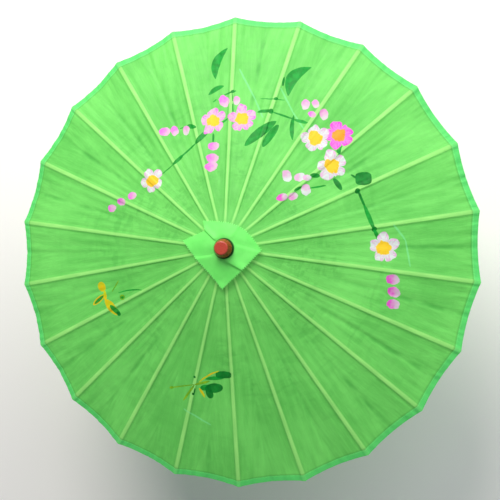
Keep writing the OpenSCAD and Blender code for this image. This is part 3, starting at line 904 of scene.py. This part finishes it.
def makeCanopy():
    radii = listRadii()
    columns = listColumns()
    wideRadii = [2 * radii[0] - radii[1], *radii, 2 * radii[-1] - radii[-2]]
    wideColumns = [-2 - columns[1], *columns, 2 - columns[-2]]
    marks = listMarks()
    plainCloth = makeClothMaterial("canopy_cloth", [])
    for rib in range(ribCount):
        grid = np.array([[clothPoint(rib, across, radius) for across in wideColumns]
                         for radius in wideRadii])
        normals = gridNormals(grid)
        points = grid[1:-1, 1:-1]
        strip = np.array([[(radius * math.sin(halfStep) * across, radius) for across in columns]
                          for radius in radii])
        first = 0
        for name, inner, outer, rows, keep in rings:
            part = slice(first, first + rows + 1)
            first += rows
            piecePoints, pieceNormals, pieceStrip = points[part], normals[part], strip[part]
            piecePlan = piecePoints[:, :, :2].copy()
            slant = math.hypot(outer - inner, clothHeight(inner) - clothHeight(outer))
            if name == "cloth_outer":
                piecePoints, pieceNormals, pieceStrip, piecePlan = turnHem(
                    piecePoints, pieceNormals, pieceStrip, piecePlan)
                slant += nylon["hemWidth"]
            own = [mark for mark in marks if touches(mark, rib, inner, outer)]
            label = f"{name}_{rib + 1:02d}"
            material = makeClothMaterial(label + "_cloth", own) if own else plainCloth
            piece = gridObject(label, piecePoints, pieceNormals,
                               {"strip": pieceStrip, "plan": piecePlan}, material)
            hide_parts("canopy")
            bendOrSquash(piece, rib, keep, canopy["bendFrom"], canopy["bendTo"])
    return len(marks)


markCount = makeCanopy()
print("the canopy has", ribCount * len(rings), "strips and", markCount, "painted marks")


# the cap cloth under the finial
cap = {
    # degrees round and distance from the stick of each corner of the cut, with straight sides between them
    "corners": [(5, 0.061), (28, 0.0495), (48, 0.0455), (67, 0.0435), (92, 0.043), (118, 0.048),
                (137, 0.060), (146, 0.045), (177, 0.0745), (203, 0.054), (249, 0.0495), (273.5, 0.0665),
                (322, 0.0465), (365, 0.061)],
    "holeRadius": 0.009,
    "bendRadius": 0.024,    # inside this the cap stays on the crown
    "bendFrom": 0.015,
    "bendTo": 0.022,
    "keep": 0.72,
    "tooth": 0.0038,        # from one pinked tooth to the next
    "toothDepth": 0.0031,
    "toothTip": 0.0008,     # the teeth stand out past the corners' line
    "lastRow": 0.0012,      # the row before the teeth is this far inside that line
    "columns": 32,          # for each rib
    "crownRows": 6,
    "skirtRows": 28,
    "gap": 0.0012,          # above the cloth of the canopy
    "cornerLift": 0.004,
    "looseLift": 0.004,     # more, on the side that has come loose
    "looseSide": 322,       # degrees round
    "liftRadius": 0.065,    # where both lifts are reached
    "foldsFrom": 0.0165,    # the folds grow between these two distances
    "foldsFull": 0.0225,
    "crumple": 0.0009,
    "green": tint(132, 252, 124),
    "palePleat": tint(166, 255, 160),
    "deepPleat": tint(110, 238, 106),
    # painted shade round the finial's foot
    "footShade": tint(12, 40, 14),
    "footShadeFrom": 0.0180,     # the painted shade starts here and is at its darkest at the distance on the next line
    "footShadeTo": 0.0160,
    "footShadeCover": 0.92,
    "throughLight": 0.28,
}

# each fold runs from one place to another (degrees round, distance from the stick), with its height and how
# far it spreads to its left and to its right; one with a height below 0 is a valley
capFolds = [
    ((145, 0.046), (144, 0.021), 0.0020, 0.0065, 0.0013),
    ((277, 0.018), (319, 0.047), 0.0024, 0.0090, 0.0022),
    ((201, 0.057), (211, 0.024), -0.0014, 0.0100, 0.0028),
    ((66, 0.022), (65, 0.043), 0.0006, 0.0050, 0.0030),
    ((35, 0.019), (5, 0.058), -0.0009, 0.0080, 0.0035),
    ((240, 0.022), (255, 0.052), 0.0008, 0.0060, 0.0080),
    ((100, 0.020), (102, 0.043), 0.0007, 0.0080, 0.0080),
]


def capReach(degrees):
    corners = cap["corners"]
    degrees = (degrees - corners[0][0]) % 360 + corners[0][0]
    for (fromAngle, fromReach), (toAngle, toReach) in zip(corners, corners[1:]):
        if fromAngle <= degrees <= toAngle:
            span = math.radians(toAngle - fromAngle)
            before = fromReach * math.sin(math.radians(degrees - fromAngle))
            after = toReach * math.sin(math.radians(toAngle - degrees))
            return fromReach * toReach * math.sin(span) / (before + after)
    return corners[0][1]


def roundStick(degrees, radius):
    turn = math.radians(degrees)
    return Vector((math.cos(turn), math.sin(turn))) * radius


def foldRise(place, start, end, height, leftWidth, rightWidth):
    start, end = roundStick(*start), roundStick(*end)
    run, offset = end - start, place - start
    share = min(max(offset.dot(run) / run.length_squared, 0), 1)
    width = leftWidth if run.cross(offset) > 0 else rightWidth
    return height * math.exp(-((offset - run * share).length / width) ** 2)


def capHeight(degrees, radius):
    outward = max(0, radius - canopy["crownRadius"]) / (cap["liftRadius"] - canopy["crownRadius"])
    loose = 0.5 + 0.5 * math.cos(math.radians(degrees - cap["looseSide"]))
    height = clothHeight(radius) + cap["gap"] + canopy["lift"]
    height += cap["cornerLift"] * outward + cap["looseLift"] * loose * outward ** 1.5
    place = roundStick(degrees, radius)
    folds = sum(foldRise(place, *fold) for fold in capFolds)
    crumple = noise.noise(Vector((place.x * 70, place.y * 70, 1.7)))
    grown = smooth((radius - cap["foldsFrom"]) / (cap["foldsFull"] - cap["foldsFrom"]))
    return height + folds * grown + cap["crumple"] * crumple * outward


def makeCapMaterial():
    material, tree = newMaterial("cap_cloth")
    across, along, _ = split(tree, mapNamed(tree, "strip"))
    plan = mapNamed(tree, "plan")
    planX, planY, _ = split(tree, plan)
    patches = noiseAt(tree, plan, 38, 3)
    colour = mixColour(tree, fade(tree, patches, 0.35, 0.7, 0.5, 1.0), cap["deepPleat"], cap["green"])
    # painted shade: a dark ring round the foot of the finial, where it stands on the cap cloth
    fromStick = move(tree, "LENGTH", join(tree, planX, planY))
    footShadeShare = fade(tree, fromStick, cap["footShadeFrom"], cap["footShadeTo"], 0.0, cap["footShadeCover"])
    colour = mixColour(tree, footShadeShare, colour, cap["footShade"])
    frayed = fade(tree, across, 0.0016, 0.0002)     # across holds the distance from the cut edge
    colour = mixColour(tree, times(tree, frayed, 0.55), colour, cap["palePleat"])
    height = times(tree, plainWeave(tree, planX, planY), 0.06)
    height = plus(tree, height, noiseAt(tree, plan, 120, 3))
    bump = addBump(tree, height, 0.3, 0.0006)
    closeCloth(tree, colour, fade(tree, patches, 0.3, 0.7, 0.42, 0.56), bump, cap["throughLight"])
    return material


def makeCap():
    material = makeCapMaterial()
    total = ribCount * cap["columns"]
    angles = [360 * (column - cap["columns"] / 2) / total for column in range(total)]
    reaches = np.array([capReach(angle) for angle in angles])
    turns = np.radians(angles)
    edge = np.stack([reaches * np.cos(turns), reaches * np.sin(turns)], axis=1)
    steps = np.linalg.norm(edge - np.roll(edge, 1, axis=0), axis=1)
    teeth = round(steps.sum() / cap["tooth"])
    phase = np.cumsum(steps) / steps.sum() * teeth
    notch = np.abs(phase % 1 - 0.5) * 2 * cap["toothDepth"]
    crownShares = [row / cap["crownRows"] for row in range(cap["crownRows"] + 1)]
    skirtShares = [(row + 1) / cap["skirtRows"] for row in range(cap["skirtRows"])]
    grid, strip = [], []
    for row, share in enumerate(crownShares + skirtShares):
        pointRow, stripRow = [], []
        for angle, turn, reach, cut in zip(angles, turns, reaches, notch):
            if row <= cap["crownRows"]:
                radius = cap["holeRadius"] + (cap["bendRadius"] - cap["holeRadius"]) * share
            else:
                radius = cap["bendRadius"] + (reach - cap["lastRow"] - cap["bendRadius"]) * share
            if share == 1 and row > cap["crownRows"]:
                radius = reach + cap["toothTip"] - cut
            pointRow.append((radius * math.cos(turn), radius * math.sin(turn), capHeight(angle, radius)))
            stripRow.append((max(reach - radius, 0), radius))
        grid.append(pointRow)
        strip.append(stripRow)
    grid, strip = np.array(grid), np.array(strip)
    ringed = np.concatenate([grid[:, -1:], grid, grid[:, :1]], axis=1)
    padded = np.concatenate([2 * ringed[:1] - ringed[1:2], ringed, 2 * ringed[-1:] - ringed[-2:-1]])
    normals = gridNormals(padded)
    for rib in range(ribCount):
        columns = [(rib * cap["columns"] + column) % total for column in range(cap["columns"] + 1)]
        parts = [("cap_crown", slice(0, cap["crownRows"] + 1), None),
                 ("cap_skirt", slice(cap["crownRows"], None), cap["keep"])]
        for name, rows, keep in parts:
            points = grid[rows][:, columns]
            maps = {"strip": strip[rows][:, columns], "plan": points[:, :, :2].copy()}
            piece = gridObject(f"{name}_{rib + 1:02d}", points, normals[rows][:, columns], maps, material)
            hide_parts("cap_cloth")
            bendOrSquash(piece, rib, keep, cap["bendFrom"], cap["bendTo"])
    print("the cap cloth has", teeth, "pinked teeth")


makeCap()


# wood, bamboo, thread and steel
redWood = {
    "body": tint(158, 44, 16),
    "dark": tint(116, 28, 10),
    "wearAndFoldBreaks": tint(170, 70, 44),
    "topFace": tint(168, 58, 50),
    "foot": tint(26, 12, 10),
}
paleWood = {"body": tint(196, 158, 108), "dark": tint(150, 108, 66), "light": tint(222, 190, 140)}
hubWood = {"body": tint(188, 144, 94), "dark": tint(128, 88, 52), "light": tint(214, 176, 124)}
bamboo = {
    "body": tint(206, 176, 112),
    "dark": tint(158, 122, 66),
    "light": tint(226, 204, 150),
    "knot": tint(120, 84, 44),
}
threadColour = {"body": tint(214, 206, 184), "dark": tint(150, 138, 112)}
steelColour = {"body": tint(178, 180, 184), "dark": tint(120, 120, 122)}


def objectPlace(tree):
    return tree.nodes.new("ShaderNodeTexCoord").outputs["Object"]


def principled(tree, colour, roughness, height=None, bump=(0.2, 0.0004)):
    shader = tree.nodes.new("ShaderNodeBsdfPrincipled")
    plug(tree, shader.inputs["Base Color"], colour)
    plug(tree, shader.inputs["Roughness"], roughness)
    if height is not None:
        plug(tree, shader.inputs["Normal"], addBump(tree, height, *bump))
    return shader


def turnedGrain(tree, stretch, scale):
    # long grain up the stick, finer round it
    x, y, z = split(tree, objectPlace(tree))
    return noiseAt(tree, join(tree, x, y, times(tree, z, stretch)), scale, 5, 0.6)


def makeLacquerMaterial(name, topHeight, footHeight):
    # red-brown lacquer over turned wood, rubbed pale along the edges
    material, tree = newMaterial(name)
    x, y, z = split(tree, objectPlace(tree))
    grain = turnedGrain(tree, 0.12, 420)
    colour = mixColour(tree, fade(tree, grain, 0.35, 0.7), redWood["dark"], redWood["body"])
    pointy = tree.nodes.new("ShaderNodeNewGeometry").outputs["Pointiness"]
    rubbed = times(tree, fade(tree, pointy, 0.515, 0.56), fade(tree, grain, 0.3, 0.6, 0.3, 0.9))
    colour = mixColour(tree, rubbed, colour, redWood["wearAndFoldBreaks"])
    far = move(tree, "LENGTH", join(tree, x, y))
    if topHeight:
        wavy = times(tree, noiseAt(tree, join(tree, x, y), 90, 2), 0.004)
        growth = calc(tree, "SINE", times(tree, plus(tree, far, wavy), 3600))
        face = mixColour(tree, fade(tree, growth, -1, 1, 0.15, 0.6), redWood["topFace"], redWood["wearAndFoldBreaks"])
        colour = mixColour(tree, fade(tree, z, topHeight - 0.0022, topHeight - 0.0006), colour, face)
    if footHeight:
        foot = fade(tree, z, footHeight + 0.0034, footHeight + 0.0022)
        colour = mixColour(tree, foot, colour, redWood["foot"])
    lines = calc(tree, "SINE", times(tree, z, 9000))
    height = plus(tree, grain, times(tree, lines, 0.05))
    shader = principled(tree, colour, fade(tree, grain, 0.3, 0.7, 0.24, 0.40), height, (0.18, 0.0004))
    shader.inputs["Specular IOR Level"].default_value = 0.3
    shader.inputs["Coat Weight"].default_value = 0.15
    shader.inputs["Coat Roughness"].default_value = 0.2
    closeMaterial(tree, shader.outputs[0])
    return material


def makeTurnedMaterial(name, wood, roughness):
    material, tree = newMaterial(name)
    grain = turnedGrain(tree, 0.05, 520)
    wide = turnedGrain(tree, 0.03, 120)
    colour = mixColour(tree, fade(tree, grain, 0.35, 0.7), wood["dark"], wood["body"])
    colour = mixColour(tree, fade(tree, wide, 0.45, 0.75, 0.0, 0.6), colour, wood["light"])
    pores = fade(tree, grain, 0.62, 0.72, 0.0, 0.5)
    colour = mixColour(tree, pores, colour, wood["dark"])
    gloss = fade(tree, grain, 0.3, 0.7, roughness - 0.08, roughness + 0.1)
    shader = principled(tree, colour, gloss, grain, (0.25, 0.0005))
    shader.inputs["Coat Weight"].default_value = 0.15
    shader.inputs["Coat Roughness"].default_value = 0.35
    closeMaterial(tree, shader.outputs[0])
    return material


def makeBambooMaterial(name, roughness, knotEvery):
    # fibres run out from the hub, with a dark knot now and then
    material, tree = newMaterial(name)
    x, y, z = split(tree, objectPlace(tree))
    far = move(tree, "LENGTH", join(tree, x, y))
    turns = calc(tree, "DIVIDE", calc(tree, "ARCTAN2", y, x), ribStep)
    own = calc(tree, "ROUND", turns)
    across = times(tree, minus(tree, turns, own), times(tree, far, ribStep))
    shifted = plus(tree, far, times(tree, own, 0.731))
    fibrePlace = join(tree, times(tree, shifted, 12), times(tree, across, 1400),
                      times(tree, z, 500))
    fibres = noiseAt(tree, fibrePlace, 1, 4, 0.6)
    colour = mixColour(tree, fade(tree, fibres, 0.3, 0.7), bamboo["dark"], bamboo["body"])
    blotch = noiseAt(tree, join(tree, shifted, own), 14, 2)
    colour = mixColour(tree, fade(tree, blotch, 0.4, 0.7, 0.0, 0.7), colour, bamboo["light"])
    cycle = calc(tree, "FRACT", calc(tree, "DIVIDE", shifted, knotEvery))
    knot = times(tree, fade(tree, cycle, 0.0, 0.008), fade(tree, cycle, 0.03, 0.012))
    colour = mixColour(tree, times(tree, knot, 0.8), colour, bamboo["knot"])
    height = plus(tree, fibres, times(tree, knot, 0.8))
    gloss = fade(tree, fibres, 0.3, 0.7, roughness - 0.08, roughness + 0.1)
    shader = principled(tree, colour, gloss, height, (0.3, 0.0004))
    closeMaterial(tree, shader.outputs[0])
    return material


def makeThreadMaterial():
    # waxed thread with its twist running round the ring
    material, tree = newMaterial("waxed_thread")
    x, y, z = split(tree, objectPlace(tree))
    turns = times(tree, calc(tree, "ARCTAN2", y, x), 90)
    twist = calc(tree, "SINE", plus(tree, turns, times(tree, z, 5000)))
    colour = mixColour(tree, fade(tree, twist, -0.8, 0.6), threadColour["dark"], threadColour["body"])
    shader = principled(tree, colour, fade(tree, twist, -1, 1, 0.6, 0.42), twist, (0.5, 0.0002))
    closeMaterial(tree, shader.outputs[0])
    return material


def makeSteelMaterial():
    material, tree = newMaterial("drawn_steel")
    drawn = turnedGrain(tree, 0.02, 1500)
    colour = mixColour(tree, fade(tree, drawn, 0.3, 0.7), steelColour["dark"], steelColour["body"])
    shader = principled(tree, colour, fade(tree, drawn, 0.3, 0.7, 0.28, 0.46), drawn, (0.12, 0.0002))
    shader.inputs["Metallic"].default_value = 1
    closeMaterial(tree, shader.outputs[0])
    return material


def finishNode(name, material):
    node = frame["nodes"][name]
    if not node.material_slots:
        node.data.materials.append(material)
    for slot in node.material_slots:
        slot.material = material


finishes = {
    "finial": makeLacquerMaterial("finial_lacquer", finialHigh.z, finialLow.z),
    "handle_grip": makeLacquerMaterial("grip_lacquer", 0, 0),
    "stick": makeTurnedMaterial("stick_wood", paleWood, 0.42),
    "upper_hub": makeTurnedMaterial("hub_wood", hubWood, 0.6),
    "hub_thread": makeThreadMaterial(),
    "hub_pin": makeSteelMaterial(),
}
finishes["runner"] = finishes["upper_hub"]
finishes["runner_thread"] = finishes["hub_thread"]
finishes["catch_spring"] = finishes["hub_pin"]
finishes["catch_pin"] = finishes["hub_pin"]
ribBamboo = makeBambooMaterial("rib_bamboo", 0.45, 0.19)
armBamboo = makeBambooMaterial("stretcher_bamboo", 0.5, 0.13)
for number in range(1, ribCount + 1):
    finishes[f"rib_{number:02d}"] = ribBamboo
    finishes[f"stretcher_{number:02d}"] = armBamboo
for nodeName, material in finishes.items():
    finishNode(nodeName, material)
print("finished", len(finishes), "hard parts")
